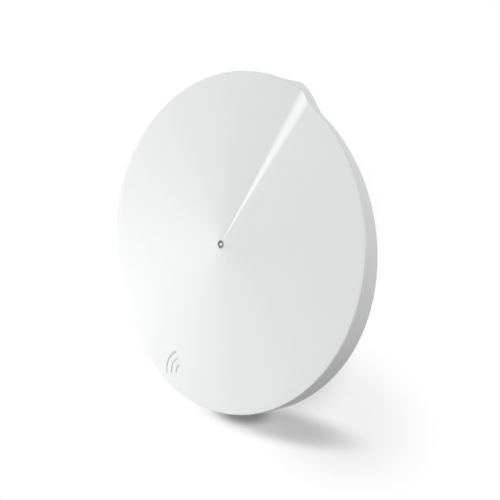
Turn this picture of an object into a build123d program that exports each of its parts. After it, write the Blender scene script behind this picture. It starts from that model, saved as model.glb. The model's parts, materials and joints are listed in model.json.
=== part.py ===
from build123d import *
from math import cos, radians, sin
import os

# A mesh wifi node: a white disc whose face is a very shallow cone with one spiral crease, its ports in a recess at
# the back (+Y) and its foot underneath. Millimetres, +Z out of the face, origin on the light's axis at the floor.

# outer shape
HEIGHT = 38.0           # floor to the middle of the face
SEAM_Z = 26.0           # where the cover ends and the housing begins
SEAM_GAP = 0.3          # shadow line between the two
FACE_FALL = 3.3         # how far the rim lies below the middle of the face
GROOVE_FALL = 1.8       # how much further the rim falls beside the crease
GROOVE_REACH = 80.0     # degrees over which it falls
CREASE_HIGH = -38.5     # direction of the crease's upper edge, degrees
CREASE_LOW = -31.5      # direction of its lower edge
RIM_RADIUS = 59.3       # at the crease's upper edge, where the spiral starts
RIM_GROWTH = 1.5        # once round
SEAM_RADIUS = 56.1      # of the cover's lower edge, just after the crease
SEAM_SWELL = 3.6        # gained in the first part of the turn
SEAM_SWELL_START = 0.03
SEAM_SWELL_SHARE = 0.235
SEAM_CORNER = 1.45      # gained in the last part, before the crease
SEAM_CORNER_SHARE = 0.045
SEAM_CREASE_HIGH = -41.0  # the crease is wider at the lower edge than on the face
SEAM_CREASE_LOW = -25.0
RIM_ROUNDING = 0.5
COVER_WALL = 1.8
FACE_WALL = 2.0
MOUTH_RADIUS = 53.3     # round opening under the cover
CEILING_EDGE_Z = 31.4   # inside of the face, at its rim
TURN_STEPS = 72         # outline points round the spiral
CREASE_STEPS = 6        # and across the crease

# housing
BASE_Z = 2.0
BASE_RADIUS = 39.0
BASE_ROUNDING = 1.2
BASE_WALL = 1.8
SIDE_WALL = 2.2
SHOULDER_RADIUS = 55.3  # round, so the spiral cover overhangs it by more and more
LIP_HEIGHT = 2.0
LIP_THICK = 1.4
LIP_CLEARANCE = 0.15
FLOOR_Z = BASE_Z + BASE_WALL
HOUSING_TOP = SEAM_Z - SEAM_GAP

# port recess
PORT_WALL_Y = 34.0
PORT_WALL = 2.0
RECESS_WIDTH = 54.0
RECESS_LOW = 6.5
RECESS_HIGH = 24.0
RECESS_ROUNDING = 1.5
BEZEL_THICK = 1.0
BEZEL_CLEARANCE = 0.3
WINDOW_CLEARANCE = 0.3
PORT_FACE_Y = PORT_WALL_Y + BEZEL_THICK

# board
BOARD_LOW = 8.4
BOARD_THICK = 1.2
BOARD_TOP = BOARD_LOW + BOARD_THICK
BOARD_RADIUS = 39.5
BOARD_BACK_Y = 31.6

# network sockets
JACK_X = (-3.0, 15.0)
JACK_WIDTH = 15.6
JACK_HEIGHT = 13.0
JACK_DEPTH = 18.0
SHIELD_THICK = 0.3
SOCKET_WIDTH = 11.9
SOCKET_HEIGHT = 8.0
SOCKET_DEPTH = 13.0
SOCKET_LOW = 3.6        # above the board
CONTACT_PITCH = 1.02
CONTACT_RADIUS = 0.22

# power inlet
INLET_X = -18.5
INLET_WIDTH = 8.94
INLET_HEIGHT = 3.26
INLET_DEPTH = 7.35
INLET_SKIN = 0.3
TONGUE_WIDTH = 6.69
TONGUE_THICK = 0.7

# foot, vents and label
FOOT_RADIUS = 35.0
FOOT_WIDTH = 4.0
FOOT_SUNK = 0.8
FOOT_CLEARANCE = 0.2
VENT_COUNT = 36
VENT_RADIUS = 24.5
VENT_LENGTH = 9.0
VENT_WIDTH = 1.8
VENT_BREAK = 15.0       # degrees left free on each side of the button
LABEL_RADIUS = 15.0
LABEL_THICK = 0.25

# fixings
TOWER_RADIUS = 35.0
TOWER_ANGLES = (20.0, 160.0, 225.0, 315.0)
TOWER_SPOTS = [(TOWER_RADIUS * cos(radians(a)), TOWER_RADIUS * sin(radians(a))) for a in TOWER_ANGLES]
TOWER_TOP = 16.0
TOWER_WIDTH = 8.0
POST_RADIUS = 3.25      # of the cover's posts, which stand on the towers
POST_BORE = 1.45
POST_GAP = 0.2
POST_TOP = CEILING_EDGE_Z + 2.2
SCREW_RADIUS = 1.4
SCREW_CLEARANCE = 0.2
SCREW_LENGTH = 17.5
SCREW_HEAD_RADIUS = 2.5
SCREW_HEAD_HEIGHT = 1.7
SCREW_HEAD_Z = 2.9
COUNTERBORE_RADIUS = 2.7
COUNTERBORE_DEPTH = 2.6
STANDOFF_RADIUS = 2.75
BOARD_SCREW_RADIUS = 1.0
BOARD_SCREW_LENGTH = 5.0
BOARD_SCREW_HEAD = 1.8
STANDOFF_SPOTS = [(34.6, -8.0), (-34.6, -8.0), (12.0, -33.4), (-12.0, -33.4)]

# reset button and its switch
BUTTON_SPOT = (0.0, -VENT_RADIUS)
BUTTON_RADIUS = 2.5
BUTTON_CLEARANCE = 0.2
BUTTON_TOP = 5.3
SWITCH_SIDE = 5.2
SWITCH_HEIGHT = 2.4
SWITCH_ROOF = 0.6
STEM_RADIUS = 1.3
STEM_HEIGHT = 1.6
FLANGE_RADIUS = 3.6     # keeps the button in
FLANGE_THICK = 0.8
FLANGE_GAP = 0.3
COLLAR_BORE = 3.9       # guides the flange
COLLAR_RADIUS = 4.9
COLLAR_HEIGHT = 1.6

# light
PIPE_RADIUS = 1.7
PIPE_TIP_RADIUS = 0.5
RING_RADIUS = 1.43
RING_SEAT_Z = HEIGHT - 1.4
RING_CLEARANCE = 0.03
PIPE_CLEARANCE = 0.2
PIPE_LOW = BOARD_LOW + BOARD_THICK + 0.9
PIPE_FOOT_RADIUS = 2.5
PIPE_COLLAR_RADIUS = 3.4
PIPE_COLLAR_LOW = 29.8
PIPE_COLLAR_HIGH = 30.8
TUBE_RADIUS = 4.0       # of the cover's tube round the pipe
TUBE_LOW = 31.0

# antennas
CARRIER_LOW = 26.2
CARRIER_THICK = 1.3
ANTENNA_RADIUS = 46.0
ANTENNA_THICK = 0.5
ANTENNA_HEIGHT = 4.0
ANTENNA_ANGLES = (45.0, 135.0, 250.0, 290.0)
PLUG_SPOTS = [(24.5, 8.5), (-24.5, 8.5), (-16.0, -34.0), (16.0, -34.0)]
PLUG_RADIUS = 1.3
PLUG_HEIGHT = 1.5
LEAD_RADIUS = 0.55
LEAD_Z = CARRIER_LOW + CARRIER_THICK + 1.2
LEAD_TURN_Z = 19.0
LEAD_BEND = 3.0


def ease(t):
    """Smooth step from 0 to 1."""
    t = min(max(t, 0.0), 1.0)
    return t * t * (3 - 2 * t)


def around(angle, along_turn, high=CREASE_HIGH, low=CREASE_LOW):
    """Value at a direction: along_turn(0..1) clockwise round the spiral, eased back across the crease."""
    turn = ((high - angle) % 360) / (360 - (low - high))
    if turn <= 1:
        return along_turn(turn)
    across = ((angle - high) % 360) / (low - high)
    return along_turn(0) + (along_turn(1) - along_turn(0)) * ease(across)


def rim_radius(angle):
    """Radius of the face's rim."""
    return around(angle, lambda turn: RIM_RADIUS + RIM_GROWTH * turn)


def seam_along(turn):
    """Radius of the cover's lower edge along the turn: it swells at first, and grows to a corner at the end."""
    swell = SEAM_SWELL * ease((turn - SEAM_SWELL_START) / SEAM_SWELL_SHARE)
    corner = SEAM_CORNER * max(0.0, 1 - (1 - turn) / SEAM_CORNER_SHARE) ** 2
    return SEAM_RADIUS + swell + corner


def seam_radius(angle):
    """Radius of the cover's lower edge."""
    return around(angle, seam_along, SEAM_CREASE_HIGH, SEAM_CREASE_LOW)


def rim_fall(angle):
    """How far the rim lies below the middle of the face: deepest at the crease's lower edge."""
    crease = CREASE_LOW - CREASE_HIGH
    ahead = (angle - CREASE_LOW) % 360
    if ahead > 360 - crease:
        return FACE_FALL + GROOVE_FALL * ease(1 - (360 - ahead) / crease)
    return FACE_FALL + GROOVE_FALL * max(0.0, 1 - ahead / GROOVE_REACH) ** 2


def directions():
    """Directions of the outline points, anticlockwise from the crease's lower edge."""
    crease = CREASE_LOW - CREASE_HIGH
    turn = [CREASE_LOW + (360 - crease) * i / TURN_STEPS for i in range(TURN_STEPS)]
    return turn + [CREASE_HIGH + crease * i / CREASE_STEPS for i in range(CREASE_STEPS)]


def polar(radius, angle):
    """A flat point at a radius and a direction."""
    return (radius * cos(radians(angle)), radius * sin(radians(angle)))


def outline(radius):
    """Flat outline points, radius being a function of direction."""
    return [polar(radius(a), a) for a in directions()]


def rim_points():
    """The rim in space."""
    return [(x, y, HEIGHT - rim_fall(a)) for (x, y), a in zip(outline(rim_radius), directions())]


# ---------------------------------------------------------------- cover

with BuildSketch(Plane.XY.offset(SEAM_Z)) as cover_edge:
    with BuildLine():
        Spline(*outline(seam_radius), periodic=True)
    make_face()
with BuildLine() as cover_rim:
    Spline(*rim_points(), periodic=True)

with BuildPart() as top_cover:
    loft(
        sections=[cover_edge.sketch, Face.make_surface(cover_rim.wires()[0]), Vertex(0, 0, HEIGHT)],
        ruled=True,
    )
    rim_edge = top_cover.edges().filter_by(lambda e: e.length > 300).sort_by(Axis.Z)[-1]
    fillet(rim_edge, RIM_ROUNDING)
    # round hollow inside: mouth, ledge, wall and ceiling
    with BuildSketch(Plane.XZ):
        with BuildLine():
            Polyline(
                (0, SEAM_Z),
                (MOUTH_RADIUS, SEAM_Z),
                (MOUTH_RADIUS, SEAM_Z + COVER_WALL),
                (SEAM_RADIUS - COVER_WALL, SEAM_Z + COVER_WALL),
                (RIM_RADIUS - COVER_WALL, CEILING_EDGE_Z),
                (0, HEIGHT - FACE_WALL),
                close=True,
            )
        make_face()
    revolve(axis=Axis.Z, mode=Mode.SUBTRACT)
    # screw posts and the light's tube hang from the ceiling
    with BuildSketch(Plane.XY.offset(TOWER_TOP + POST_GAP)):
        with Locations(*TOWER_SPOTS):
            Circle(POST_RADIUS)
            Circle(POST_BORE, mode=Mode.SUBTRACT)
    extrude(amount=POST_TOP - TOWER_TOP - POST_GAP)
    with BuildSketch(Plane.XY.offset(TUBE_LOW)):
        Circle(TUBE_RADIUS)
    extrude(amount=HEIGHT - FACE_WALL / 2 - TUBE_LOW)
    with BuildSketch(Plane.XY.offset(TUBE_LOW)):
        Circle(PIPE_RADIUS + PIPE_CLEARANCE)
    extrude(amount=RING_SEAT_Z - TUBE_LOW, mode=Mode.SUBTRACT)
    with BuildSketch(Plane.XY.offset(RING_SEAT_Z)):
        Circle(RING_RADIUS + RING_CLEARANCE)
    extrude(amount=FACE_WALL, mode=Mode.SUBTRACT)

# ---------------------------------------------------------------- light

with BuildPart() as led_ring:
    with BuildSketch(Plane.XZ) as ring_profile:
        with BuildLine():
            Polyline(
                (PIPE_TIP_RADIUS + 0.1, RING_SEAT_Z),
                (RING_RADIUS, RING_SEAT_Z),
                (RING_RADIUS, HEIGHT - 0.22),
                (RING_RADIUS - 0.12, HEIGHT - 0.1),
                (PIPE_TIP_RADIUS + 0.45, HEIGHT - 0.1),
                (PIPE_TIP_RADIUS + 0.1, HEIGHT - 0.35),
                close=True,
            )
        make_face()
    revolve(axis=Axis.Z)

with BuildPart() as light_pipe:
    with BuildSketch(Plane.XZ):
        with BuildLine():
            Polyline(
                (0, PIPE_LOW),
                (PIPE_FOOT_RADIUS, PIPE_LOW),
                (PIPE_RADIUS, PIPE_LOW + 2.6),
                (PIPE_RADIUS, PIPE_COLLAR_LOW),
                (PIPE_COLLAR_RADIUS, PIPE_COLLAR_LOW),
                (PIPE_COLLAR_RADIUS, PIPE_COLLAR_HIGH),
                (PIPE_RADIUS, PIPE_COLLAR_HIGH),
                (PIPE_RADIUS, RING_SEAT_Z - 1.0),
                (PIPE_TIP_RADIUS, RING_SEAT_Z - 0.2),
                (PIPE_TIP_RADIUS, HEIGHT - 0.2),
                (0, HEIGHT - 0.12),
                close=True,
            )
        make_face()
    revolve(axis=Axis.Z)

with BuildPart() as status_led:
    with Locations((0, 0, BOARD_TOP)):
        Box(1.6, 1.6, 0.5, align=(Align.CENTER, Align.CENTER, Align.MIN))
    with Locations((0, 0, BOARD_TOP + 0.5)):
        Cylinder(0.6, 0.25, align=(Align.CENTER, Align.CENTER, Align.MIN))

# ---------------------------------------------------------------- housing

with BuildPart() as housing_hollow:
    with BuildSketch(Plane.XZ):
        with BuildLine():
            Polyline(
                (0, FLOOR_Z),
                (BASE_RADIUS - SIDE_WALL, FLOOR_Z),
                (SHOULDER_RADIUS - SIDE_WALL, HOUSING_TOP),
                (0, HOUSING_TOP),
                close=True,
            )
        make_face()
    revolve(axis=Axis.Z)
    with Locations((0, PORT_WALL_Y - PORT_WALL, FLOOR_Z)):
        Box(
            RECESS_WIDTH + 2 * PORT_WALL,
            RECESS_WIDTH,
            HEIGHT,
            align=(Align.CENTER, Align.MIN, Align.MIN),
            mode=Mode.SUBTRACT,
        )

with BuildPart() as lower_housing:
    with BuildSketch(Plane.XZ) as housing_profile:
        with BuildLine():
            Polyline(
                (0, BASE_Z),
                (BASE_RADIUS, BASE_Z),
                (SHOULDER_RADIUS, HOUSING_TOP),
                (0, HOUSING_TOP),
                close=True,
            )
        make_face()
        fillet(housing_profile.vertices().group_by(Axis.Y)[0].sort_by(Axis.X)[-1], BASE_ROUNDING)
    revolve(axis=Axis.Z)
    add(housing_hollow.part, mode=Mode.SUBTRACT)
    # lip that centres the cover
    with BuildSketch(Plane.XY.offset(HOUSING_TOP)):
        Circle(MOUTH_RADIUS - LIP_CLEARANCE)
        Circle(MOUTH_RADIUS - LIP_CLEARANCE - LIP_THICK, mode=Mode.SUBTRACT)
    extrude(amount=LIP_HEIGHT)
    # recess for the ports
    with BuildSketch(Plane.XY.offset(RECESS_LOW)) as recess_plan:
        with Locations((0, PORT_WALL_Y)):
            Rectangle(RECESS_WIDTH, RECESS_WIDTH, align=(Align.CENTER, Align.MIN))
        fillet(recess_plan.vertices().sort_by(Axis.Y)[:2], RECESS_ROUNDING)
    extrude(amount=RECESS_HIGH - RECESS_LOW, mode=Mode.SUBTRACT)
    with BuildSketch(Plane.XZ.offset(-PORT_WALL_Y)):
        with Locations(*[(x, BOARD_TOP + JACK_HEIGHT / 2 + SHIELD_THICK / 2) for x in JACK_X]):
            Rectangle(
                JACK_WIDTH + 2 * SHIELD_THICK + 2 * WINDOW_CLEARANCE,
                JACK_HEIGHT + SHIELD_THICK + 2 * WINDOW_CLEARANCE,
            )
        with Locations((INLET_X, BOARD_TOP + INLET_HEIGHT / 2)):
            RectangleRounded(INLET_WIDTH + 2 * WINDOW_CLEARANCE, INLET_HEIGHT + 2 * WINDOW_CLEARANCE, 1.9)
    extrude(amount=PORT_WALL, mode=Mode.SUBTRACT)
    # screw towers and board standoffs
    with BuildSketch(Plane.XY.offset(FLOOR_Z - 0.5)):
        with Locations(*TOWER_SPOTS):
            Circle(TOWER_WIDTH / 2)
    extrude(amount=TOWER_TOP - FLOOR_Z + 0.5)
    with BuildSketch(Plane.XY.offset(FLOOR_Z - 0.5)):
        with Locations(*STANDOFF_SPOTS):
            Circle(STANDOFF_RADIUS)
    extrude(amount=BOARD_LOW - FLOOR_Z + 0.5)
    with Locations(*[(x, y, TOWER_TOP) for x, y in TOWER_SPOTS]):
        Hole(radius=SCREW_RADIUS + SCREW_CLEARANCE, depth=TOWER_TOP)
    with BuildSketch(Plane.XY.offset(BASE_Z)):
        with Locations(*TOWER_SPOTS):
            Circle(COUNTERBORE_RADIUS)
    extrude(amount=COUNTERBORE_DEPTH, mode=Mode.SUBTRACT)
    with Locations(*[(x, y, BOARD_LOW) for x, y in STANDOFF_SPOTS]):
        Hole(radius=BOARD_SCREW_RADIUS + 0.05, depth=BOARD_SCREW_LENGTH - BOARD_THICK + 0.4)
    # groove for the foot
    with BuildSketch(Plane.XY.offset(BASE_Z)):
        Circle(FOOT_RADIUS + FOOT_WIDTH / 2 + FOOT_CLEARANCE)
        Circle(FOOT_RADIUS - FOOT_WIDTH / 2 - FOOT_CLEARANCE, mode=Mode.SUBTRACT)
    extrude(amount=FOOT_SUNK, mode=Mode.SUBTRACT)
    # cooling slots, leaving room for the button
    vent_angles = [360 * i / VENT_COUNT for i in range(VENT_COUNT)]
    vent_angles = [a for a in vent_angles if abs(a - 270) > VENT_BREAK]
    with BuildSketch(Plane.XY.offset(BASE_Z)):
        for angle in vent_angles:
            with Locations(Location(polar(VENT_RADIUS, angle), angle)):
                SlotOverall(VENT_LENGTH, VENT_WIDTH)
    extrude(amount=BASE_WALL + 0.1, mode=Mode.SUBTRACT)
    # button hole and the collar that guides the button
    with BuildSketch(Plane.XY.offset(FLOOR_Z)):
        with Locations(BUTTON_SPOT):
            Circle(COLLAR_RADIUS)
            Circle(COLLAR_BORE, mode=Mode.SUBTRACT)
    extrude(amount=COLLAR_HEIGHT)
    with BuildSketch(Plane.XY.offset(BASE_Z)):
        with Locations(BUTTON_SPOT):
            Circle(BUTTON_RADIUS + BUTTON_CLEARANCE)
    extrude(amount=BASE_WALL, mode=Mode.SUBTRACT)

with BuildPart() as port_bezel:
    with BuildSketch(Plane.XZ.offset(-PORT_WALL_Y)) as bezel_face:
        with Locations((0, (RECESS_LOW + RECESS_HIGH) / 2)):
            RectangleRounded(
                RECESS_WIDTH - 2 * RECESS_ROUNDING - 2 * BEZEL_CLEARANCE,
                RECESS_HIGH - RECESS_LOW - 2 * BEZEL_CLEARANCE,
                0.8,
            )
        with Locations(*[(x, BOARD_TOP + JACK_HEIGHT / 2 + SHIELD_THICK / 2) for x in JACK_X]):
            Rectangle(
                JACK_WIDTH + 2 * SHIELD_THICK + 2 * WINDOW_CLEARANCE,
                JACK_HEIGHT + SHIELD_THICK + 2 * WINDOW_CLEARANCE,
                mode=Mode.SUBTRACT,
            )
        with Locations((INLET_X, BOARD_TOP + INLET_HEIGHT / 2)):
            RectangleRounded(
                INLET_WIDTH + 2 * WINDOW_CLEARANCE,
                INLET_HEIGHT + 2 * WINDOW_CLEARANCE,
                1.9,
                mode=Mode.SUBTRACT,
            )
    extrude(amount=-BEZEL_THICK)

with BuildPart() as foot_ring:
    with BuildSketch(Plane.XZ):
        with Locations((FOOT_RADIUS, 0)):
            Rectangle(FOOT_WIDTH, BASE_Z + FOOT_SUNK, align=(Align.CENTER, Align.MIN))
    revolve(axis=Axis.Z)
    fillet(foot_ring.edges().group_by(Axis.Z)[0], 0.6)

with BuildPart() as rating_label:
    with BuildSketch(Plane.XY.offset(BASE_Z - LABEL_THICK)):
        Circle(LABEL_RADIUS)
    extrude(amount=LABEL_THICK)

with BuildPart() as housing_screws:
    with BuildSketch(Plane.XY.offset(SCREW_HEAD_Z)):
        with Locations(*TOWER_SPOTS):
            Circle(SCREW_HEAD_RADIUS)
    extrude(amount=SCREW_HEAD_HEIGHT)
    # cross recess
    with BuildSketch(Plane.XY.offset(SCREW_HEAD_Z)):
        with Locations(*TOWER_SPOTS):
            Rectangle(3.0, 0.6)
            Rectangle(0.6, 3.0)
    extrude(amount=SCREW_HEAD_HEIGHT / 2, mode=Mode.SUBTRACT)
    with BuildSketch(Plane.XY.offset(SCREW_HEAD_Z + SCREW_HEAD_HEIGHT)):
        with Locations(*TOWER_SPOTS):
            Circle(SCREW_RADIUS)
    extrude(amount=SCREW_LENGTH)

# ---------------------------------------------------------------- reset button

with BuildPart() as reset_button:
    with BuildSketch(Plane.XY.offset(BASE_Z)):
        with Locations(BUTTON_SPOT):
            Circle(BUTTON_RADIUS)
    extrude(amount=BASE_WALL + FLANGE_GAP)
    with BuildSketch(Plane.XY.offset(FLOOR_Z + FLANGE_GAP)):
        with Locations(BUTTON_SPOT):
            Circle(FLANGE_RADIUS)
    extrude(amount=FLANGE_THICK)
    with BuildSketch(Plane.XY.offset(FLOOR_Z + FLANGE_GAP + FLANGE_THICK)):
        with Locations(BUTTON_SPOT):
            Circle(STEM_RADIUS - 0.1)
    extrude(amount=BUTTON_TOP - FLOOR_Z - FLANGE_GAP - FLANGE_THICK)
    fillet(reset_button.edges().group_by(Axis.Z)[0], 0.3)

with BuildPart() as reset_switch:
    with BuildSketch(Plane.XY.offset(BOARD_LOW - SWITCH_HEIGHT)):
        with Locations(BUTTON_SPOT):
            Rectangle(SWITCH_SIDE, SWITCH_SIDE)
            Circle(STEM_RADIUS + 0.3, mode=Mode.SUBTRACT)
    extrude(amount=SWITCH_HEIGHT - SWITCH_ROOF)
    with BuildSketch(Plane.XY.offset(BOARD_LOW - SWITCH_ROOF)):
        with Locations(BUTTON_SPOT):
            Rectangle(SWITCH_SIDE, SWITCH_SIDE)
    extrude(amount=SWITCH_ROOF)

with BuildPart() as switch_stem:
    with BuildSketch(Plane.XY.offset(BUTTON_TOP)):
        with Locations(BUTTON_SPOT):
            Circle(STEM_RADIUS)
    extrude(amount=STEM_HEIGHT)

# ---------------------------------------------------------------- board and what stands on it

with BuildPart() as main_board:
    with BuildSketch(Plane.XY.offset(BOARD_LOW)):
        Circle(BOARD_RADIUS)
        with Locations((0, BOARD_BACK_Y)):
            Rectangle(2 * BOARD_RADIUS, BOARD_RADIUS, align=(Align.CENTER, Align.MIN), mode=Mode.SUBTRACT)
        with Locations(*[(x * 1.02, y * 1.02) for x, y in TOWER_SPOTS]):
            Circle(4.8, mode=Mode.SUBTRACT)
    extrude(amount=BOARD_THICK)
    with Locations(*[(x, y, BOARD_TOP) for x, y in STANDOFF_SPOTS]):
        Hole(radius=BOARD_SCREW_RADIUS + 0.15, depth=BOARD_THICK)

with BuildPart() as board_screws:
    with BuildSketch(Plane.XY.offset(BOARD_TOP)):
        with Locations(*STANDOFF_SPOTS):
            Circle(BOARD_SCREW_HEAD)
    extrude(amount=1.3)
    with BuildSketch(Plane.XY.offset(BOARD_TOP + 0.6)):
        with Locations(*STANDOFF_SPOTS):
            Rectangle(2.2, 0.5)
            Rectangle(0.5, 2.2)
    extrude(amount=1.0, mode=Mode.SUBTRACT)
    with BuildSketch(Plane.XY.offset(BOARD_TOP)):
        with Locations(*STANDOFF_SPOTS):
            Circle(BOARD_SCREW_RADIUS)
    extrude(amount=-BOARD_SCREW_LENGTH)

PROCESSOR = (0.0, -19.0)
with BuildPart() as processor:
    with Locations((*PROCESSOR, BOARD_TOP)):
        Box(15, 15, 0.8, align=(Align.CENTER, Align.CENTER, Align.MIN))
    with Locations((*PROCESSOR, BOARD_TOP + 0.8)):
        Box(12, 12, 0.6, align=(Align.CENTER, Align.CENTER, Align.MIN))

with BuildPart() as thermal_pad:
    with Locations((*PROCESSOR, BOARD_TOP + 1.4)):
        Box(14, 14, 0.7, align=(Align.CENTER, Align.CENTER, Align.MIN))

with BuildPart() as heat_sink:
    with Locations((*PROCESSOR, BOARD_TOP + 2.1)):
        Box(38, 22, 1.5, align=(Align.CENTER, Align.CENTER, Align.MIN))
    with Locations((*PROCESSOR, BOARD_TOP + 3.6)):
        with GridLocations(4.56, 1, 9, 1):
            Box(1.2, 22, 6.0, align=(Align.CENTER, Align.CENTER, Align.MIN))
    with Locations((17.5, -9.5, BOARD_TOP), (-17.5, -9.5, BOARD_TOP)):
        Cylinder(1.2, 2.1, align=(Align.CENTER, Align.CENTER, Align.MIN))

with BuildPart() as memory_chips:
    with Locations((-13.0, -19.0, BOARD_TOP), (13.0, -19.0, BOARD_TOP)):
        Box(8.0, 12.5, 1.1, align=(Align.CENTER, Align.CENTER, Align.MIN))

with BuildPart() as radio_shields:
    with Locations((25.5, -5.0, BOARD_TOP), (-25.5, -5.0, BOARD_TOP)):
        Box(11.0, 18.0, 2.4, align=(Align.CENTER, Align.CENTER, Align.MIN))
        Box(10.4, 17.4, 2.1, align=(Align.CENTER, Align.CENTER, Align.MIN), mode=Mode.SUBTRACT)

with BuildPart() as network_transformers:
    with Locations(*[(x, 10.5, BOARD_TOP) for x in JACK_X]):
        Box(12.5, 8.0, 3.6, align=(Align.CENTER, Align.CENTER, Align.MIN))
    chamfer(network_transformers.faces().group_by(Axis.Z)[-1].edges(), 0.4)

with BuildPart() as board_capacitors:
    with Locations((-28.0, 20.0, BOARD_TOP), (-28.0, 25.0, BOARD_TOP), (-13.5, 4.0, BOARD_TOP)):
        Cylinder(2.0, 5.4, align=(Align.CENTER, Align.CENTER, Align.MIN))
    fillet(board_capacitors.edges().group_by(Axis.Z)[-1], 0.4)

with BuildPart() as power_coils:
    with Locations((26.0, 20.0, BOARD_TOP), (26.0, 25.5, BOARD_TOP)):
        Box(4.8, 4.8, 3.0, align=(Align.CENTER, Align.CENTER, Align.MIN))
    chamfer(power_coils.edges().filter_by(Axis.Z), 0.8)

# ---------------------------------------------------------------- sockets


def socket_body(x):
    """Moulded body of a network socket, open towards +Y, its latch notch at the board side."""
    front = Plane.XZ.offset(-PORT_FACE_Y)
    middle = BOARD_TOP + SOCKET_LOW + SOCKET_HEIGHT / 2
    with BuildPart() as body:
        with Locations((x, PORT_FACE_Y, BOARD_TOP)):
            Box(JACK_WIDTH, JACK_DEPTH, JACK_HEIGHT, align=(Align.CENTER, Align.MAX, Align.MIN))
        with BuildSketch(front):
            with Locations((x, middle)):
                Rectangle(SOCKET_WIDTH, SOCKET_HEIGHT)
            with Locations((x, middle - SOCKET_HEIGHT / 2)):
                Rectangle(6.2, 1.4, align=(Align.CENTER, Align.MAX))
            with Locations((x, middle - SOCKET_HEIGHT / 2 - 1.4)):
                Rectangle(3.4, 1.0, align=(Align.CENTER, Align.MAX))
        extrude(amount=SOCKET_DEPTH, mode=Mode.SUBTRACT)
    return body.part


def socket_shield(x):
    """Folded metal shield over three sides and the back of a network socket."""
    with BuildPart() as shield:
        with Locations((x, PORT_FACE_Y, BOARD_TOP)):
            Box(
                JACK_WIDTH + 2 * SHIELD_THICK,
                JACK_DEPTH + SHIELD_THICK,
                JACK_HEIGHT + SHIELD_THICK,
                align=(Align.CENTER, Align.MAX, Align.MIN),
            )
            Box(
                JACK_WIDTH,
                JACK_DEPTH,
                JACK_HEIGHT,
                align=(Align.CENTER, Align.MAX, Align.MIN),
                mode=Mode.SUBTRACT,
            )
    return shield.part


jack_bodies = [socket_body(x) for x in JACK_X]
jack_shields = [socket_shield(x) for x in JACK_X]

with BuildPart() as socket_contacts:
    for x in JACK_X:
        for i in range(8):
            wire_x = x + (i - 3.5) * CONTACT_PITCH
            with BuildLine(Plane.YZ.offset(wire_x)) as contact_line:
                Line((PORT_FACE_Y - 3.0, BOARD_TOP + 11.2), (PORT_FACE_Y - 11.6, BOARD_TOP + 8.6))
            with BuildSketch(Plane(contact_line.line @ 0, z_dir=contact_line.line % 0)):
                Circle(CONTACT_RADIUS)
            sweep(path=contact_line.line)

with BuildPart() as inlet_shell:
    with BuildSketch(Plane.XZ.offset(-PORT_FACE_Y)):
        with Locations((INLET_X, BOARD_TOP + INLET_HEIGHT / 2)):
            RectangleRounded(INLET_WIDTH, INLET_HEIGHT, 1.6)
            RectangleRounded(
                INLET_WIDTH - 2 * INLET_SKIN, INLET_HEIGHT - 2 * INLET_SKIN, 1.3, mode=Mode.SUBTRACT
            )
    extrude(amount=INLET_DEPTH)
    with BuildSketch(Plane.XZ.offset(-PORT_FACE_Y + INLET_DEPTH)):
        with Locations((INLET_X, BOARD_TOP + INLET_HEIGHT / 2)):
            RectangleRounded(INLET_WIDTH, INLET_HEIGHT, 1.6)
    extrude(amount=INLET_SKIN)

with BuildPart() as inlet_tongue:
    with BuildSketch(Plane.XZ.offset(-PORT_FACE_Y + INLET_DEPTH)):
        with Locations((INLET_X, BOARD_TOP + INLET_HEIGHT / 2)):
            RectangleRounded(INLET_WIDTH - 2 * INLET_SKIN - 0.1, INLET_HEIGHT - 2 * INLET_SKIN - 0.1, 1.2)
    extrude(amount=-1.6)
    with BuildSketch(Plane.XZ.offset(-PORT_FACE_Y + INLET_DEPTH - 1.6)):
        with Locations((INLET_X, BOARD_TOP + INLET_HEIGHT / 2)):
            Rectangle(TONGUE_WIDTH, TONGUE_THICK)
    extrude(amount=-4.8)

# ---------------------------------------------------------------- antennas

with BuildPart() as antenna_carrier:
    with BuildSketch(Plane.XY.offset(CARRIER_LOW)):
        Circle(ANTENNA_RADIUS + 2.0)
        Circle(ANTENNA_RADIUS - 3.5, mode=Mode.SUBTRACT)
        with Locations(*TOWER_SPOTS):
            Circle(5.2)
        for angle in TOWER_ANGLES:
            with Locations(Location(polar(TOWER_RADIUS + 5.5, angle), angle)):
                Rectangle(6.0, 5.0)
        with Locations(*TOWER_SPOTS):
            Circle(3.4, mode=Mode.SUBTRACT)
    extrude(amount=CARRIER_THICK)


def antenna_arc(angle, width):
    """Sketch of an upright antenna strip: a thin arc of the given angular width."""
    outer = ANTENNA_RADIUS + ANTENNA_THICK / 2
    inner = ANTENNA_RADIUS - ANTENNA_THICK / 2
    with BuildSketch(Plane.XY.offset(CARRIER_LOW + CARRIER_THICK)) as strip:
        with BuildLine():
            CenterArc((0, 0), outer, angle - width / 2, width)
            CenterArc((0, 0), inner, angle - width / 2, width)
            Line(polar(inner, angle - width / 2), polar(outer, angle - width / 2))
            Line(polar(inner, angle + width / 2), polar(outer, angle + width / 2))
        make_face()
    return strip.sketch


with BuildPart() as wifi_antennas:
    for angle in ANTENNA_ANGLES:
        add(antenna_arc(angle, 34.0))
    extrude(amount=ANTENNA_HEIGHT)

with BuildPart() as sensor_antenna:
    add(antenna_arc(0.0, 16.0))
    extrude(amount=ANTENNA_HEIGHT - 1.0)

with BuildPart() as antenna_plugs:
    with Locations(*[(x, y, BOARD_TOP) for x, y in PLUG_SPOTS]):
        Cylinder(PLUG_RADIUS, PLUG_HEIGHT, align=(Align.CENTER, Align.CENTER, Align.MIN))

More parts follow.
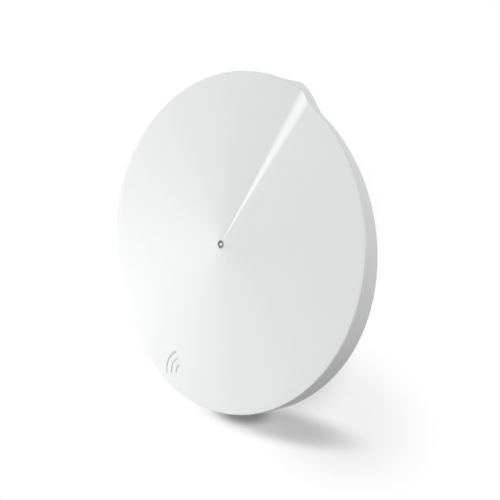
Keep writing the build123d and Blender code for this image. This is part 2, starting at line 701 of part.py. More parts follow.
with BuildPart() as antenna_leads:
    for angle, (plug_x, plug_y) in zip(ANTENNA_ANGLES, PLUG_SPOTS):
        start_x, start_y = polar(ANTENNA_RADIUS - 0.9, angle)
        over_x, over_y = polar(ANTENNA_RADIUS - 6.0, angle)
        with BuildLine() as lead_line:
            FilletPolyline(
                (start_x, start_y, LEAD_Z),
                (over_x, over_y, LEAD_Z),
                (plug_x, plug_y, LEAD_TURN_Z),
                (plug_x, plug_y, BOARD_TOP + PLUG_HEIGHT),
                radius=LEAD_BEND,
            )
        with BuildSketch(Plane(lead_line.line @ 0, z_dir=lead_line.line % 0)):
            Circle(LEAD_RADIUS)
        sweep(path=lead_line.line)

# ---------------------------------------------------------------- export

pieces = {
    "top_cover": top_cover.part,
    "led_ring": led_ring.part,
    "light_pipe": light_pipe.part,
    "status_led": status_led.part,
    "lower_housing": lower_housing.part,
    "port_bezel": port_bezel.part,
    "foot_ring": foot_ring.part,
    "rating_label": rating_label.part,
    "housing_screws": housing_screws.part,
    "reset_button": reset_button.part,
    "reset_switch": reset_switch.part,
    "switch_stem": switch_stem.part,
    "main_board": main_board.part,
    "board_screws": board_screws.part,
    "processor": processor.part,
    "thermal_pad": thermal_pad.part,
    "heat_sink": heat_sink.part,
    "memory_chips": memory_chips.part,
    "radio_shields": radio_shields.part,
    "network_transformers": network_transformers.part,
    "board_capacitors": board_capacitors.part,
    "power_coils": power_coils.part,
    "jack_left": jack_bodies[0],
    "jack_right": jack_bodies[1],
    "jack_shield_left": jack_shields[0],
    "jack_shield_right": jack_shields[1],
    "socket_contacts": socket_contacts.part,
    "inlet_shell": inlet_shell.part,
    "inlet_tongue": inlet_tongue.part,
    "antenna_carrier": antenna_carrier.part,
    "wifi_antennas": wifi_antennas.part,
    "sensor_antenna": sensor_antenna.part,
    "antenna_plugs": antenna_plugs.part,
    "antenna_leads": antenna_leads.part,
}

os.makedirs("parts", exist_ok=True)
for name, piece in pieces.items():
    piece.label = name
    export_step(piece, f"parts/{name}.step")
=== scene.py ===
"""Mesh wifi node: the looks. The CAD frame is loaded, its visible shells get finely computed surfaces, and
every piece gets a procedural finish. Metres, +Z out of the face, +Y towards the ports."""

import json
import math

import bmesh
import bpy
import numpy as np
from mathutils import Matrix, Vector


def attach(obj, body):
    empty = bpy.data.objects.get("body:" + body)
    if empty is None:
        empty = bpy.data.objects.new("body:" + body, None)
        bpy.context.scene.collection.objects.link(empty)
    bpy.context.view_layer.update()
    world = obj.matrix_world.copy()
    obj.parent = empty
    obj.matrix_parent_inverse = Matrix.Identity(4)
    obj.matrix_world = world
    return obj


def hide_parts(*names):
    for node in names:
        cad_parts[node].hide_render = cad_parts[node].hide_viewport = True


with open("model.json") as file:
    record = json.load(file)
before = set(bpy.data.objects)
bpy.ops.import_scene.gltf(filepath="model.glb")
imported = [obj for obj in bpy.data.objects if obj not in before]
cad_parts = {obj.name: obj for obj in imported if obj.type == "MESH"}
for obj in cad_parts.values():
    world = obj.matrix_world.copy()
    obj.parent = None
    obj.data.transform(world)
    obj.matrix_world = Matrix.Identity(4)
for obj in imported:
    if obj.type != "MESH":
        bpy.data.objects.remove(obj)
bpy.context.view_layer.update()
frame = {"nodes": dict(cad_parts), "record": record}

MM = 0.001

# shape of the cover, in millimetres and degrees, the same as the CAD
HEIGHT = 38.0
SEAM_Z = 26.0
FACE_FALL = 3.3
GROOVE_FALL = 1.8
GROOVE_REACH = 80.0
CREASE_HIGH = -38.5
CREASE_LOW = -31.5
CREASE_WIDTH = CREASE_LOW - CREASE_HIGH
RIM_RADIUS = 59.3
RIM_GROWTH = 1.5
SEAM_RADIUS = 56.1
SEAM_SWELL = 3.6
SEAM_SWELL_START = 0.03
SEAM_SWELL_SHARE = 0.235
SEAM_CORNER = 1.45
SEAM_CORNER_SHARE = 0.045
SEAM_CREASE_HIGH = -41.0
SEAM_CREASE_LOW = -25.0
RIM_ROUNDING = 0.5
EDGE_ROUNDING = 0.25
MOUTH_RADIUS = 53.3
COVER_WALL = 1.8
CEILING_EDGE_Z = 31.4
FACE_WALL = 2.25
MOUTH_BEVEL = 0.2
COLLAR_RADIUS = 4.0
COLLAR_BORE = 1.9
COLLAR_Z = 31.0
RING_SEAT = 1.4
RING_HOLE = 1.46

# fineness of the cover's grid
TURN_STEPS = 840
CREASE_STEPS = 72
ROUNDING_STEPS = 9
WALL_STEPS = 9
FACE_SHARES = (0.0, 0.01, 0.03, 0.07, 0.14, *np.linspace(0.22, 1.0, 14))
WELD_DISTANCE = 0.0000005

# camera
CAMERA_PLACE = (0.00295, -0.23963, 0.29230)
CAMERA_RIGHT = (0.00349, -0.74776, -0.66396)
CAMERA_UP = (0.99990, 0.01188, -0.00812)
LENS_MM = 72.0
SENSOR_MM = 36.0


# ------------------------------------------------------------------ camera and stage


def aim_camera():
    """Camera at a fixed place, its axes given by its right and up directions; back is their cross product."""
    right = Vector(CAMERA_RIGHT).normalized()
    back = right.cross(Vector(CAMERA_UP)).normalized()
    up = back.cross(right)
    turn = Matrix((right, up, back)).transposed().to_4x4()
    data = bpy.data.cameras.new("camera")
    data.lens = LENS_MM
    data.sensor_width = SENSOR_MM
    data.clip_start = 0.005
    data.clip_end = 20.0
    camera = bpy.data.objects.new("camera", data)
    camera.matrix_world = Matrix.Translation(CAMERA_PLACE) @ turn
    bpy.context.scene.collection.objects.link(camera)
    bpy.context.scene.camera = camera


aim_camera()


def mesh_from_grid(name, points, wrap_rows=False, wrap_columns=False):
    """A mesh from a rows x columns x 3 array of points in metres: each cell is one four-sided face, and the
    grid may close on itself either way."""
    rows, columns = points.shape[:2]
    index = np.arange(rows * columns).reshape(rows, columns)
    below = np.roll(index, -1, 0) if wrap_rows else index[1:]
    here = index if wrap_rows else index[:-1]
    if wrap_columns:
        corners = (here, np.roll(here, -1, 1), np.roll(below, -1, 1), below)
    else:
        corners = (here[:, :-1], here[:, 1:], below[:, 1:], below[:, :-1])
    faces = np.stack([c.ravel() for c in corners], 1)
    mesh = bpy.data.meshes.new(name)
    mesh.from_pydata(points.reshape(-1, 3).tolist(), [], faces.tolist())
    mesh.update()
    mesh.polygons.foreach_set("use_smooth", np.ones(len(faces), bool))
    piece = bpy.data.objects.new(name, mesh)
    bpy.context.scene.collection.objects.link(piece)
    return piece


def sharpen(piece, degrees):
    """Edges that turn by more than this stay crisp."""
    piece.data.set_sharp_from_angle(angle=math.radians(degrees))


def weld(piece):
    """Points that coincide become one, so that poles are closed, and the faces turn outwards."""
    shape = bmesh.new()
    shape.from_mesh(piece.data)
    bmesh.ops.remove_doubles(shape, verts=shape.verts, dist=WELD_DISTANCE)
    bmesh.ops.recalc_face_normals(shape, faces=shape.faces)
    shape.to_mesh(piece.data)
    shape.free()


# ------------------------------------------------------------------ materials: shared effects


def node_group(name, inputs, outputs):
    """An empty node group with named sockets; inputs are (name, kind, default)."""
    group = bpy.data.node_groups.new(name, "ShaderNodeTree")
    for label, kind, default in inputs:
        socket = group.interface.new_socket(label, in_out="INPUT", socket_type=kind)
        socket.default_value = default
    for label, kind in outputs:
        group.interface.new_socket(label, in_out="OUTPUT", socket_type=kind)
    return group, group.nodes.new("NodeGroupInput"), group.nodes.new("NodeGroupOutput")


def add_node(tree, kind, settings=(), **values):
    """A node with its options set and its input sockets filled by name."""
    node = tree.nodes.new(kind)
    for key, value in dict(settings).items():
        setattr(node, key, value)
    for key, value in values.items():
        node.inputs[key].default_value = value
    return node


FINE_CLOUD_SCALE = 5.3
FINE_CLOUD_SHARE = 0.35
CLOUD_LOW, CLOUD_HIGH = 0.45, 0.9


def make_mottle_group():
    """Two noises of different size, added and stretched: a soft cloud from 0 to 1."""
    group, given, out = node_group(
        "mottle", [("Vector", "NodeSocketVector", (0, 0, 0)), ("Scale", "NodeSocketFloat", 20.0)],
        [("Cloud", "NodeSocketFloat")],
    )
    link = group.links.new
    coarse = add_node(group, "ShaderNodeTexNoise", Detail=3.0, Roughness=0.55)
    finer = add_node(group, "ShaderNodeMath", {"operation": "MULTIPLY"})
    finer.inputs[1].default_value = FINE_CLOUD_SCALE
    fine = add_node(group, "ShaderNodeTexNoise", Detail=2.0, Roughness=0.6)
    both = add_node(group, "ShaderNodeMath", {"operation": "MULTIPLY_ADD"})
    both.inputs[1].default_value = FINE_CLOUD_SHARE
    spread = add_node(group, "ShaderNodeMapRange")
    spread.inputs["From Min"].default_value = CLOUD_LOW
    spread.inputs["From Max"].default_value = CLOUD_HIGH
    link(given.outputs["Vector"], coarse.inputs["Vector"])
    link(given.outputs["Scale"], coarse.inputs["Scale"])
    link(given.outputs["Scale"], finer.inputs[0])
    link(given.outputs["Vector"], fine.inputs["Vector"])
    link(finer.outputs[0], fine.inputs["Scale"])
    link(fine.outputs["Fac"], both.inputs[0])
    link(coarse.outputs["Fac"], both.inputs[2])
    link(both.outputs[0], spread.inputs["Value"])
    link(spread.outputs["Result"], out.inputs["Cloud"])
    return group


def make_grain_group():
    """Moulding grain: fine noise used as height, returned as a bumped normal."""
    group, given, out = node_group(
        "grain",
        [
            ("Vector", "NodeSocketVector", (0, 0, 0)),
            ("Scale", "NodeSocketFloat", 900.0),
            ("Depth", "NodeSocketFloat", 0.00001),
        ],
        [("Normal", "NodeSocketVector")],
    )
    link = group.links.new
    noise = add_node(group, "ShaderNodeTexNoise", Detail=4.0, Roughness=0.6)
    bump = add_node(group, "ShaderNodeBump", Strength=1.0)
    link(given.outputs["Vector"], noise.inputs["Vector"])
    link(given.outputs["Scale"], noise.inputs["Scale"])
    link(noise.outputs["Fac"], bump.inputs["Height"])
    link(given.outputs["Depth"], bump.inputs["Distance"])
    link(bump.outputs["Normal"], out.inputs["Normal"])
    return group


EDGE_LOW, EDGE_HIGH = 0.51, 0.6
WEAR_BREAKS = 400.0


def make_wear_group():
    """Edge wear: convex edges from the mesh's pointiness, broken up by noise, from 0 to 1."""
    group, given, out = node_group(
        "edge wear",
        [("Vector", "NodeSocketVector", (0, 0, 0)), ("Amount", "NodeSocketFloat", 0.5)],
        [("Mask", "NodeSocketFloat")],
    )
    link = group.links.new
    shape = group.nodes.new("ShaderNodeNewGeometry")
    edge = add_node(group, "ShaderNodeMapRange")
    edge.inputs["From Min"].default_value = EDGE_LOW
    edge.inputs["From Max"].default_value = EDGE_HIGH
    noise = add_node(group, "ShaderNodeTexNoise", Scale=WEAR_BREAKS, Detail=3.0)
    broken = add_node(group, "ShaderNodeMath", {"operation": "MULTIPLY"})
    scaled = add_node(group, "ShaderNodeMath", {"operation": "MULTIPLY", "use_clamp": True})
    link(shape.outputs["Pointiness"], edge.inputs["Value"])
    link(given.outputs["Vector"], noise.inputs["Vector"])
    link(edge.outputs["Result"], broken.inputs[0])
    link(noise.outputs["Fac"], broken.inputs[1])
    link(broken.outputs[0], scaled.inputs[0])
    link(given.outputs["Amount"], scaled.inputs[1])
    link(scaled.outputs[0], out.inputs["Mask"])
    return group


SPECK_SCALE = 1400.0
SPECK_EDGE, SPECK_CORE = 0.16, 0.08


def make_dust_group():
    """Dust: upward-facing surface times fine specks, from 0 to 1."""
    group, given, out = node_group(
        "dust",
        [("Vector", "NodeSocketVector", (0, 0, 0)), ("Amount", "NodeSocketFloat", 0.1)],
        [("Mask", "NodeSocketFloat")],
    )
    link = group.links.new
    shape = group.nodes.new("ShaderNodeNewGeometry")
    parts = group.nodes.new("ShaderNodeSeparateXYZ")
    specks = add_node(group, "ShaderNodeTexVoronoi", Scale=SPECK_SCALE)
    small = add_node(group, "ShaderNodeMapRange")
    small.inputs["From Min"].default_value = SPECK_EDGE
    small.inputs["From Max"].default_value = SPECK_CORE
    rising = add_node(group, "ShaderNodeMath", {"operation": "MULTIPLY", "use_clamp": True})
    scaled = add_node(group, "ShaderNodeMath", {"operation": "MULTIPLY", "use_clamp": True})
    link(shape.outputs["Normal"], parts.inputs[0])
    link(given.outputs["Vector"], specks.inputs["Vector"])
    link(specks.outputs["Distance"], small.inputs["Value"])
    link(small.outputs["Result"], rising.inputs[0])
    link(parts.outputs["Z"], rising.inputs[1])
    link(rising.outputs[0], scaled.inputs[0])
    link(given.outputs["Amount"], scaled.inputs[1])
    link(scaled.outputs[0], out.inputs["Mask"])
    return group


MOTTLE = make_mottle_group()
GRAIN = make_grain_group()
WEAR = make_wear_group()
DUST = make_dust_group()


def use_group(tree, group, vector, **values):
    """A group node fed with a coordinate."""
    node = tree.nodes.new("ShaderNodeGroup")
    node.node_tree = group
    tree.links.new(vector, node.inputs["Vector"])
    for key, value in values.items():
        node.inputs[key].default_value = value
    return node


COAT_ROUGHNESS = 0.14
WORN_GAIN = 1.25
WORN_LIFT = 0.03
DUST_COLOUR = (0.55, 0.53, 0.5, 1)


def finish(
    name, colour, shade, roughness, spread, grain=(900.0, 0.00001), cloud=30.0, metallic=0.0,
    stretch=(1, 1, 1), wear=0.3, dust=0.1, specular=0.5, coat=0.0,
):
    """A surface finish: colour drifts towards shade in soft clouds, roughness drifts by spread, grain
    roughens the normal, worn edges go lighter and dust settles on top. stretch squeezes the coordinates, for
    brushing."""
    material = bpy.data.materials.new(name)
    material.use_nodes = True
    tree = material.node_tree
    link = tree.links.new
    body = tree.nodes["Principled BSDF"]
    body.inputs["Metallic"].default_value = metallic
    body.inputs["Specular IOR Level"].default_value = specular
    body.inputs["Coat Weight"].default_value = coat
    body.inputs["Coat Roughness"].default_value = COAT_ROUGHNESS
    place = tree.nodes.new("ShaderNodeTexCoord")
    mapping = add_node(tree, "ShaderNodeMapping", Scale=stretch)
    link(place.outputs["Object"], mapping.inputs["Vector"])
    vector = mapping.outputs["Vector"]
    clouds = use_group(tree, MOTTLE, vector, Scale=cloud)
    drift = add_node(tree, "ShaderNodeMix", {"data_type": "RGBA"})
    drift.inputs["A"].default_value = (*colour, 1)
    drift.inputs["B"].default_value = (*shade, 1)
    link(clouds.outputs["Cloud"], drift.inputs["Factor"])
    worn = use_group(tree, WEAR, vector, Amount=wear)
    light = add_node(tree, "ShaderNodeMix", {"data_type": "RGBA"})
    light.inputs["B"].default_value = tuple(min(1.0, c * WORN_GAIN + WORN_LIFT) for c in colour) + (1,)
    link(worn.outputs["Mask"], light.inputs["Factor"])
    link(drift.outputs["Result"], light.inputs["A"])
    dusty = use_group(tree, DUST, vector, Amount=dust)
    top = add_node(tree, "ShaderNodeMix", {"data_type": "RGBA"})
    top.inputs["B"].default_value = DUST_COLOUR
    link(dusty.outputs["Mask"], top.inputs["Factor"])
    link(light.outputs["Result"], top.inputs["A"])
    link(top.outputs["Result"], body.inputs["Base Color"])
    rough = add_node(tree, "ShaderNodeMapRange")
    rough.inputs["To Min"].default_value = roughness - spread
    rough.inputs["To Max"].default_value = roughness + spread
    link(clouds.outputs["Cloud"], rough.inputs["Value"])
    link(rough.outputs["Result"], body.inputs["Roughness"])
    bumps = use_group(tree, GRAIN, vector, Scale=grain[0], Depth=grain[1])
    link(bumps.outputs["Normal"], body.inputs["Normal"])
    return material


COVER_WHITE = finish(
    "satin white cover", (0.86, 0.865, 0.865), (0.845, 0.85, 0.85), 0.45, 0.02, grain=(2600.0, 0.000002),
    cloud=16.0, wear=0.05, dust=0.0, specular=0.2, coat=0.6,
)
FINISHES = {
    "white_cover": COVER_WHITE,
    "white_housing": finish(
        "matt white housing", (0.82, 0.825, 0.825), (0.79, 0.795, 0.79), 0.5, 0.05, grain=(1500.0, 0.000008),
        wear=0.15, dust=0.05,
    ),
    "grey_ring": finish(
        "satin grey ring", (0.16, 0.165, 0.17), (0.12, 0.125, 0.13), 0.4, 0.08, grain=(3000.0, 0.000004),
        wear=0.3,
    ),
    "clear_pipe": finish(
        "clear moulded pipe", (0.9, 0.93, 0.95), (0.86, 0.9, 0.93), 0.12, 0.05, grain=(600.0, 0.000003),
        wear=0.1,
    ),
    "grey_rubber": finish(
        "grey foot rubber", (0.3, 0.3, 0.305), (0.25, 0.25, 0.255), 0.8, 0.08, grain=(1800.0, 0.00003),
        wear=0.4,
    ),
    "label_film": finish(
        "silver label film", (0.62, 0.63, 0.64), (0.55, 0.56, 0.57), 0.38, 0.08, grain=(2200.0, 0.000004),
        wear=0.2,
    ),
    "screw_steel": finish(
        "zinc screw steel", (0.6, 0.6, 0.6), (0.45, 0.45, 0.46), 0.35, 0.12, metallic=1.0, stretch=(1, 1, 6),
    ),
    "dark_plastic": finish(
        "matt dark plastic", (0.025, 0.026, 0.028), (0.04, 0.041, 0.043), 0.5, 0.1, grain=(1600.0, 0.00001),
    ),
    "board": finish(
        "green solder mask", (0.02, 0.14, 0.07), (0.015, 0.1, 0.05), 0.32, 0.08, grain=(700.0, 0.00001),
        cloud=120.0,
    ),
    "chip": finish(
        "moulded chip black", (0.03, 0.03, 0.032), (0.05, 0.05, 0.052), 0.55, 0.1, grain=(2600.0, 0.00001),
    ),
    "thermal_pad": finish(
        "blue grey silicone", (0.25, 0.3, 0.42), (0.2, 0.25, 0.36), 0.75, 0.08, grain=(1200.0, 0.00002),
    ),
    "aluminium": finish(
        "brushed aluminium", (0.75, 0.76, 0.77), (0.66, 0.67, 0.69), 0.34, 0.1, metallic=1.0, stretch=(1,
        12, 1),
    ),
    "shield_metal": finish(
        "tinned shield metal", (0.68, 0.67, 0.64), (0.55, 0.54, 0.52), 0.3, 0.12, metallic=1.0,
        stretch=(8, 1, 1),
    ),
    "contact_metal": finish(
        "gold plated contact", (0.9, 0.68, 0.3), (0.8, 0.58, 0.24), 0.25, 0.1, metallic=1.0,
    ),
    "antenna_metal": finish(
        "stamped brass antenna", (0.78, 0.62, 0.34), (0.66, 0.5, 0.26), 0.33, 0.1, metallic=1.0,
        stretch=(1, 1, 9),
    ),
    "lead_jacket": finish(
        "black lead jacket", (0.03, 0.03, 0.032), (0.05, 0.05, 0.05), 0.5, 0.1, grain=(1500.0, 0.00001),
    ),
    "led_package": finish(
        "cream lamp package", (0.8, 0.78, 0.66), (0.72, 0.7, 0.58), 0.4, 0.08,
    ),
}


def dress_frame():
    """Every CAD node takes the finish of its material slot."""
    slots = {part["node"]: part["material_slot"] for part in frame["record"]["subparts"]}
    for name, node in frame["nodes"].items():
        node.data.materials.clear()
        node.data.materials.append(FINISHES[slots[name]])


dress_frame()


def dress(piece, body, material, replaced=()):
    """Finish a new piece: its material, the body it rides on and any CAD nodes it stands for."""
    piece.data.materials.append(material)
    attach(piece, body)
    if replaced:
        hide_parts(*replaced)


# ------------------------------------------------------------------ the cover's shape


def ease(t):
    """Smooth step from 0 to 1."""
    t = np.clip(t, 0.0, 1.0)
    return t * t * (3 - 2 * t)


def around(angle, along_turn, high=CREASE_HIGH, low=CREASE_LOW):
    """Value at each direction: along_turn(0..1) clockwise round the spiral, eased back across the crease."""
    turn = np.mod(high - angle, 360.0) / (360.0 - (low - high))
    across = np.mod(angle - high, 360.0) / (low - high)
    first = along_turn(np.zeros_like(angle))
    last = along_turn(np.ones_like(angle))
    return np.where(turn <= 1.0, along_turn(np.minimum(turn, 1.0)), first + (last - first) * ease(across))


def rim_radius(angle):
    """Rim radius: grows in proportion to the turn."""
    return around(angle, lambda turn: RIM_RADIUS + RIM_GROWTH * turn)


def seam_along(turn):
    """Radius of the lower edge along the turn: a smooth swell at first, and a squared growth to a corner at
    the end."""
    swell = SEAM_SWELL * ease((turn - SEAM_SWELL_START) / SEAM_SWELL_SHARE)
    corner = SEAM_CORNER * np.maximum(0.0, 1.0 - (1.0 - turn) / SEAM_CORNER_SHARE) ** 2
    return SEAM_RADIUS + swell + corner


def seam_radius(angle):
    """Radius of the lower edge in each direction."""
    return around(angle, seam_along, SEAM_CREASE_HIGH, SEAM_CREASE_LOW)


def rim_fall(angle):
    """How far the rim lies below the middle: constant, plus a squared ramp towards the crease's lower edge,
    eased back to nothing across the crease."""
    ahead = np.mod(angle - CREASE_LOW, 360.0)
    ramp = np.maximum(0.0, 1.0 - ahead / GROOVE_REACH) ** 2
    back = ease(1.0 - (360.0 - ahead) / CREASE_WIDTH)
    return FACE_FALL + GROOVE_FALL * np.where(ahead > 360.0 - CREASE_WIDTH, back, ramp)


def face_height(radius, angle):
    """Height of the face: straight from the middle to the rim in every direction."""
    return HEIGHT - rim_fall(angle) * radius / rim_radius(angle)


def directions():
    """Directions round the cover, closer together across the crease."""
    turn = CREASE_LOW + (360.0 - CREASE_WIDTH) * np.arange(TURN_STEPS) / TURN_STEPS
    crease = CREASE_HIGH + 360.0 + CREASE_WIDTH * np.arange(CREASE_STEPS) / CREASE_STEPS
    return np.concatenate([turn, crease])


def cover_surface():
    """One closed surface: a profile (face, rounded rim, side wall, ledge, inside) carried round the spiral,
    where every profile point is a radius and a height that depend on the direction."""
    angle = directions()
    rim = rim_radius(angle)
    seam = seam_radius(angle)
    flat = np.ones_like(angle)
    rows = []
    face_edge = rim - RIM_ROUNDING
    for share in FACE_SHARES:
        radius = RING_HOLE + (face_edge - RING_HOLE) * share
        rows.append((radius, face_height(radius, angle)))
    edge_z = face_height(face_edge, angle)
    for beta in np.radians(np.linspace(0.0, 90.0, ROUNDING_STEPS)[1:]):
        rows.append((face_edge + RIM_ROUNDING * np.sin(beta), edge_z - RIM_ROUNDING * (1 - np.cos(beta))))
    wall_top = edge_z - RIM_ROUNDING
    for share in np.linspace(0.0, 1.0, WALL_STEPS)[1:]:
        rows.append((rim + (seam - rim) * share, wall_top + (SEAM_Z + EDGE_ROUNDING - wall_top) * share))
    for beta in np.radians([30.0, 60.0, 90.0]):
        rows.append((
            seam - EDGE_ROUNDING * (1 - np.cos(beta)),
            flat * (SEAM_Z + EDGE_ROUNDING * (1 - np.sin(beta))),
        ))
    for radius, height in (
        (MOUTH_RADIUS + MOUTH_BEVEL, SEAM_Z),
        (MOUTH_RADIUS, SEAM_Z + MOUTH_BEVEL),
        (MOUTH_RADIUS, SEAM_Z + COVER_WALL),
        (SEAM_RADIUS - COVER_WALL, SEAM_Z + COVER_WALL),
        (RIM_RADIUS - COVER_WALL, CEILING_EDGE_Z),
        (COLLAR_RADIUS, HEIGHT - FACE_WALL),
        (COLLAR_RADIUS, COLLAR_Z),
        (COLLAR_BORE, COLLAR_Z),
        (COLLAR_BORE, HEIGHT - RING_SEAT),
        (RING_HOLE, HEIGHT - RING_SEAT),
    ):
        rows.append((flat * radius, flat * height))
    radius = np.array([r for r, _ in rows])
    height = np.array([z for _, z in rows])
    turn = np.radians(angle)
    return np.stack([radius * np.cos(turn), radius * np.sin(turn), height], 2) * MM


cover = mesh_from_grid("cover_shell", cover_surface()[::-1], wrap_rows=True, wrap_columns=True)
sharpen(cover, 28.0)
dress(cover, "housing", COVER_WHITE, ["top_cover"])


def turned(name, profile, steps=180, closed=True):
    """A turned piece: a profile of (radius, height) in millimetres carried round the Z axis."""
    profile = np.array(profile, float)
    turn = np.linspace(0.0, 2 * np.pi, steps, endpoint=False)
    points = np.stack(
        [
            np.outer(profile[:, 0], np.cos(turn)),
            np.outer(profile[:, 0], np.sin(turn)),
            np.outer(profile[:, 1], np.ones(steps)),
        ],
        2,
    )
    return mesh_from_grid(name, points * MM, wrap_rows=closed, wrap_columns=True)


# ------------------------------------------------------------------ the light in the middle

RING_RADIUS = 1.42
RING_BORE = 0.58
RING_SET_IN = 0.22
RING_CROWN = 0.1
RING_LIP = 0.45
RING_FOOT = 1.38
LENS_RADIUS = 0.52
LENS_SET_IN = 0.3
LENS_DOME = 0.14
LENS_FOOT = 1.2
LENS_GLOW = 1.4


def ring_profile():
    """Half a rounded section from bore to rim, then straight down and back: a shallow dished ring."""
    beta = np.linspace(0.0, np.pi, 13)
    middle = (RING_RADIUS + RING_BORE) / 2
    half = (RING_RADIUS - RING_BORE) / 2
    top = np.stack([middle - half * np.cos(beta), HEIGHT - RING_SET_IN + RING_CROWN * np.sin(beta)], 1)
    foot = HEIGHT - RING_FOOT
    low = [(RING_RADIUS, foot), (RING_BORE, foot), (RING_BORE, HEIGHT - RING_LIP)]
    return np.concatenate([top, low])[::-1]


ring = turned("ring_trim", ring_profile(), 96)
sharpen(ring, 40.0)
dress(ring, "housing", FINISHES["grey_ring"], ["led_ring"])


def glow_finish():
    """White light with a faint cloudy cool tint."""
    material = bpy.data.materials.new("lit lens")
    material.use_nodes = True
    tree = material.node_tree
    body = tree.nodes["Principled BSDF"]
    place = tree.nodes.new("ShaderNodeTexCoord")
    clouds = use_group(tree, MOTTLE, place.outputs["Object"], Scale=900.0)
    tint = add_node(tree, "ShaderNodeMix", {"data_type": "RGBA"})
    tint.inputs["A"].default_value = (1.0, 1.0, 1.0, 1)
    tint.inputs["B"].default_value = (0.9, 0.94, 1.0, 1)
    tree.links.new(clouds.outputs["Cloud"], tint.inputs["Factor"])
    tree.links.new(tint.outputs["Result"], body.inputs["Emission Color"])
    tree.links.new(tint.outputs["Result"], body.inputs["Base Color"])
    rough = add_node(tree, "ShaderNodeMapRange")
    rough.inputs["To Min"].default_value = 0.18
    rough.inputs["To Max"].default_value = 0.3
    tree.links.new(clouds.outputs["Cloud"], rough.inputs["Value"])
    tree.links.new(rough.outputs["Result"], body.inputs["Roughness"])
    bumps = use_group(tree, GRAIN, place.outputs["Object"], Scale=2500.0, Depth=0.000002)
    tree.links.new(bumps.outputs["Normal"], body.inputs["Normal"])
    body.inputs["Emission Strength"].default_value = LENS_GLOW
    return material


def lens_profile():
    """A shallow dome over a short stem."""
    beta = np.linspace(0.0, np.pi / 2, 10)
    dome = np.stack([LENS_RADIUS * np.sin(beta), HEIGHT - LENS_SET_IN + LENS_DOME * np.cos(beta)], 1)
    return np.concatenate([dome, [(LENS_RADIUS, HEIGHT - LENS_FOOT), (0.0, HEIGHT - LENS_FOOT)]])


lens = turned("light_lens", lens_profile()[::-1], 72, closed=False)
weld(lens)
sharpen(lens, 40.0)
dress(lens, "housing", glow_finish())

# ------------------------------------------------------------------ a plain radio-wave mark on the face

MARK_MIDDLE = (-47.0, 22.5)
MARK_TURN = 58.0
MARK_SPREAD = 42.0
MARK_RADII = (2.6, 5.2, 7.8)
MARK_WIDTH = 1.05
MARK_PROUD = 0.09
MARK_STEPS = 61
MARK_SIDES = 16


def wave_strip(radius):
    """One raised arc: a flat oval section carried along an arc about the mark's middle, its width falling to
    nothing at both ends as a semicircle does, its height added to the face's own."""
    along = np.linspace(-1.0, 1.0, MARK_STEPS)[:, None]
    across = np.linspace(0.0, 2 * np.pi, MARK_SIDES, endpoint=False)[None, :]
    end = MARK_WIDTH / 2 / (radius * math.radians(MARK_SPREAD))
    closing = np.sqrt(np.clip(1.0 - np.clip((np.abs(along) - 1.0 + end) / end, 0.0, 1.0) ** 2, 0.0, 1.0))
    bearing = np.radians(MARK_TURN + MARK_SPREAD * along)
    reach = radius + closing * np.cos(across) * MARK_WIDTH / 2
    x = MARK_MIDDLE[0] + reach * np.cos(bearing)
    y = MARK_MIDDLE[1] + reach * np.sin(bearing)
    lift = closing * np.sin(across) * MARK_PROUD
    z = face_height(np.hypot(x, y), np.degrees(np.arctan2(y, x))) + lift
    return np.stack([x, y, z], 2) * MM


PRINT_GREY = finish(
    "light grey print", (0.66, 0.665, 0.67), (0.63, 0.635, 0.64), 0.5, 0.04, grain=(2600.0, 0.000002),
    wear=0.0, dust=0.0, specular=0.3,
)
for number, mark_radius in enumerate(MARK_RADII):
    strip = mesh_from_grid(f"wave_mark_{number}", wave_strip(mark_radius), wrap_columns=True)
    weld(strip)
    dress(strip, "housing", PRINT_GREY)

# ------------------------------------------------------------------ world, light and floor


WORLD_LEVEL = 0.585
WORLD_SLOPE = (0.44, 0.0, -0.26)
WORLD_LEAST = 0.05


def light_world():
    """Even white surroundings: brighter from +X, dimmer from straight above the face; plain white to the
    camera."""
    world = bpy.data.worlds.new("studio")
    bpy.context.scene.world = world
    world.use_nodes = True
    tree = world.node_tree
    tree.nodes.clear()
    link = tree.links.new
    out = tree.nodes.new("ShaderNodeOutputWorld")
    place = tree.nodes.new("ShaderNodeTexCoord")
    weight = add_node(tree, "ShaderNodeVectorMath", {"operation": "DOT_PRODUCT"})
    weight.inputs[1].default_value = WORLD_SLOPE
    level = add_node(tree, "ShaderNodeMath", {"operation": "ADD"})
    level.inputs[1].default_value = WORLD_LEVEL
    floor = add_node(tree, "ShaderNodeMath", {"operation": "MAXIMUM"})
    floor.inputs[1].default_value = WORLD_LEAST
    soft = add_node(tree, "ShaderNodeBackground")
    plain = add_node(tree, "ShaderNodeBackground", Color=(1, 1, 1, 1), Strength=1.0)
    path = tree.nodes.new("ShaderNodeLightPath")
    pick = tree.nodes.new("ShaderNodeMixShader")
    link(place.outputs["Generated"], weight.inputs[0])
    link(weight.outputs["Value"], level.inputs[0])
    link(level.outputs[0], floor.inputs[0])
    link(floor.outputs[0], soft.inputs["Strength"])
    link(path.outputs["Is Camera Ray"], pick.inputs[0])
    link(soft.outputs[0], pick.inputs[1])
    link(plain.outputs[0], pick.inputs[2])
    link(pick.outputs[0], out.inputs["Surface"])


light_world()


def sun(name, towards, energy, spread):
    """A distant light: where it comes from, its strength and its width in degrees."""
    data = bpy.data.lights.new(name, "SUN")
    data.energy = energy
    data.angle = math.radians(spread)
    lamp = bpy.data.objects.new(name, data)
    lamp.rotation_euler = Vector(towards).to_track_quat("Z", "Y").to_euler()
    bpy.context.scene.collection.objects.link(lamp)


sun("key", (-0.16, 0.93, 0.29), 3.7, 30.0)
sun("front", (0.05, -0.66, 0.75), 1.0, 8.0)


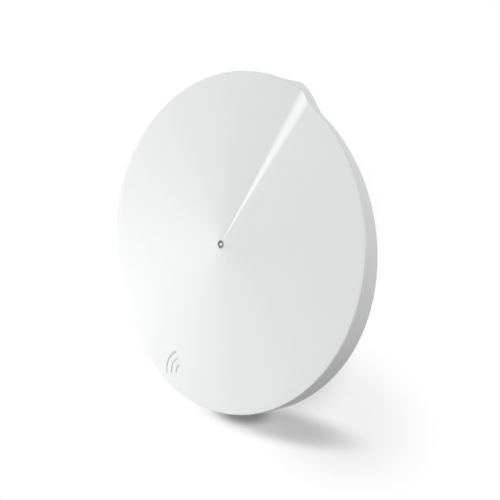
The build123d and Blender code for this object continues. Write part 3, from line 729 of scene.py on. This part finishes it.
# soft shade painted on the floor: middle and half size in millimetres, turn in degrees, depth
SHADE_CORE = 0.75
PAINTED_SHADOWS = (
    ((-66.5, 24.0), (7.0, 21.0), 2.0, 0.62),
    ((-69.0, 6.0), (9.5, 52.0), -3.0, 0.42),
    ((-38.0, 10.0), (37.0, 46.0), 0.0, 0.5),
    ((-62.0, -20.0), (34.0, 52.0), -6.0, 0.13),
    ((4.0, 0.0), (46.0, 46.0), 0.0, 0.62),
)


def painted_shadow_lobe(tree, place, middle, size, turn, depth):
    """One patch of painted shadow, as the share of the floor's glow it keeps: 1 outside an ellipse, falling
    smoothly to 1 - depth inside."""
    into = add_node(tree, "ShaderNodeMapping", {"vector_type": "TEXTURE"})
    into.inputs["Location"].default_value = (middle[0] * MM, middle[1] * MM, 0.0)
    into.inputs["Rotation"].default_value = (0.0, 0.0, math.radians(turn))
    into.inputs["Scale"].default_value = (size[0] * MM, size[1] * MM, 1.0)
    ball = add_node(tree, "ShaderNodeTexGradient", {"gradient_type": "SPHERICAL"})
    fade = add_node(tree, "ShaderNodeMapRange", {"interpolation_type": "SMOOTHERSTEP"})
    fade.inputs["From Max"].default_value = SHADE_CORE
    fade.inputs["To Min"].default_value = 1.0
    fade.inputs["To Max"].default_value = 1.0 - depth
    tree.links.new(place, into.inputs["Vector"])
    tree.links.new(into.outputs["Vector"], ball.inputs["Vector"])
    tree.links.new(ball.outputs["Fac"], fade.inputs["Value"])
    return fade.outputs["Result"]


FLOOR_HALF = 3.0
FLOOR_LINES = 9


def make_floor():
    """A pale level floor: a big flat sheet that glows plain white from above, with shadow painted into its
    glow under and beside the disc, not cast by any lamp, and lets everything through from below."""
    side = np.linspace(-FLOOR_HALF, FLOOR_HALF, FLOOR_LINES)
    grid = np.stack([*np.meshgrid(side, side), np.zeros((FLOOR_LINES, FLOOR_LINES))], 2)
    floor = mesh_from_grid("floor", grid)
    material = bpy.data.materials.new("pale floor with painted shadow")
    material.use_nodes = True
    tree = material.node_tree
    tree.nodes.clear()
    link = tree.links.new
    out = tree.nodes.new("ShaderNodeOutputMaterial")
    place = tree.nodes.new("ShaderNodeTexCoord")
    through = None
    # painted shadow: each patch darkens the floor's white glow
    for lobe in PAINTED_SHADOWS:
        fade = painted_shadow_lobe(tree, place.outputs["Object"], *lobe)
        if through is not None:
            both = add_node(tree, "ShaderNodeMath", {"operation": "MULTIPLY"})
            link(through, both.inputs[0])
            link(fade, both.inputs[1])
            fade = both.outputs[0]
        through = fade
    glow = add_node(tree, "ShaderNodeEmission")
    clear = add_node(tree, "ShaderNodeBsdfTransparent")
    path = tree.nodes.new("ShaderNodeLightPath")
    side_seen = tree.nodes.new("ShaderNodeNewGeometry")
    from_above = add_node(tree, "ShaderNodeMath", {"operation": "SUBTRACT", "use_clamp": True})
    pick = tree.nodes.new("ShaderNodeMixShader")
    # the painted shadow sets the strength of the floor's glow
    link(through, glow.inputs["Strength"])
    link(path.outputs["Is Camera Ray"], from_above.inputs[0])
    link(side_seen.outputs["Backfacing"], from_above.inputs[1])
    link(from_above.outputs[0], pick.inputs[0])
    link(clear.outputs[0], pick.inputs[1])
    link(glow.outputs[0], pick.inputs[2])
    link(pick.outputs[0], out.inputs["Surface"])
    floor.data.materials.append(material)


make_floor()

bpy.context.scene.view_settings.view_transform = "Standard"
